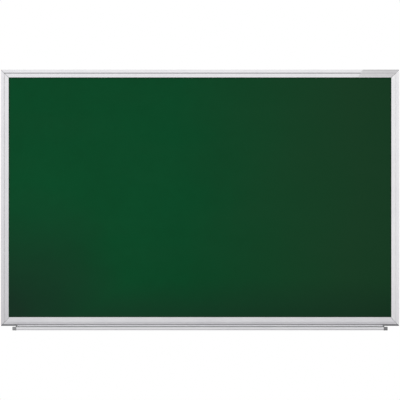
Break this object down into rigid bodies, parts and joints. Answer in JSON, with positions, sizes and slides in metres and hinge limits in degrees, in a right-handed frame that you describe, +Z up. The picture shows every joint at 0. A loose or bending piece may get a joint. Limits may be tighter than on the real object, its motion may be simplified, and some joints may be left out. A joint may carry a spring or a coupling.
{
  "type": "chalkboard",
  "caption": "Wall chalkboard: green enamelled steel writing panel in a mitred aluminium frame, with a sliding chalk tray and keyhole hanger plates in the back corners.",
  "frame": {"origin": "on the wall plane, at the middle of the flat back of the top rail", "axes": "+X to the board's right seen from the front, +Y into the wall, +Z up; the writing face looks along -Y"},
  "size_m": [1.5, 0.0918, 0.9798],
  "materials": {
    "green_enamel": "low sheen chalk enamel",
    "core_board": "raw board",
    "galvanised_steel": "galvanised",
    "anodised_aluminium": "natural anodised satin",
    "pale_plastic": "satin",
    "grey_plastic": "fine grained",
    "cast_zinc": "as cast",
    "plated_steel": "zinc plated"
  },
  "bodies": {
    "board": {"writing_sheet": "green_enamel", "panel_core": "core_board", "backing_sheet": "galvanised_steel", "rail_top": "anodised_aluminium", "rail_bottom": "anodised_aluminium", "rail_left": "anodised_aluminium", "rail_right": "anodised_aluminium", "label_clip": "pale_plastic", "cam_rivet_left": "plated_steel", "cam_rivet_right": "plated_steel", "corner_cleat_top_left": "cast_zinc", "corner_cleat_top_right": "cast_zinc", "corner_cleat_bottom_left": "cast_zinc", "corner_cleat_bottom_right": "cast_zinc", "cleat_screw_top_left_across": "plated_steel", "cleat_screw_top_left_upright": "plated_steel", "cleat_screw_top_right_across": "plated_steel", "cleat_screw_top_right_upright": "plated_steel", "cleat_screw_bottom_left_across": "plated_steel", "cleat_screw_bottom_left_upright": "plated_steel", "cleat_screw_bottom_right_across": "plated_steel", "cleat_screw_bottom_right_upright": "plated_steel", "hanger_plate_top_left": "galvanised_steel", "hanger_plate_top_right": "galvanised_steel", "hanger_plate_bottom_left": "galvanised_steel", "hanger_plate_bottom_right": "galvanised_steel", "plate_screw_top_left_across": "plated_steel", "plate_screw_top_left_upright": "plated_steel", "plate_screw_top_right_across": "plated_steel", "plate_screw_top_right_upright": "plated_steel", "plate_screw_bottom_left_across": "plated_steel", "plate_screw_bottom_left_upright": "plated_steel", "plate_screw_bottom_right_across": "plated_steel", "plate_screw_bottom_right_upright": "plated_steel"},
    "tray": {"chalk_tray": "anodised_aluminium", "tray_cap_left": "grey_plastic", "tray_cap_right": "grey_plastic", "tray_lock_screw_left": "plated_steel", "tray_lock_screw_right": "plated_steel"},
    "cam_left": {"levelling_cam_left": "plated_steel"},
    "cam_right": {"levelling_cam_right": "plated_steel"}
  },
  "joints": [
    {"name": "tray_slide", "type": "slide", "parent": "board", "child": "tray", "axis": [1, 0, 0], "range_m": [-0.045, 0.045]},
    {"name": "levelling_cam_left_turn", "type": "hinge", "parent": "board", "child": "cam_left", "pos_m": [-0.708, -0.0034, -0.022], "axis": [0, 1, 0], "continuous": true},
    {"name": "levelling_cam_right_turn", "type": "hinge", "parent": "board", "child": "cam_right", "pos_m": [0.708, -0.0034, -0.022], "axis": [0, 1, 0], "continuous": true}
  ]
}
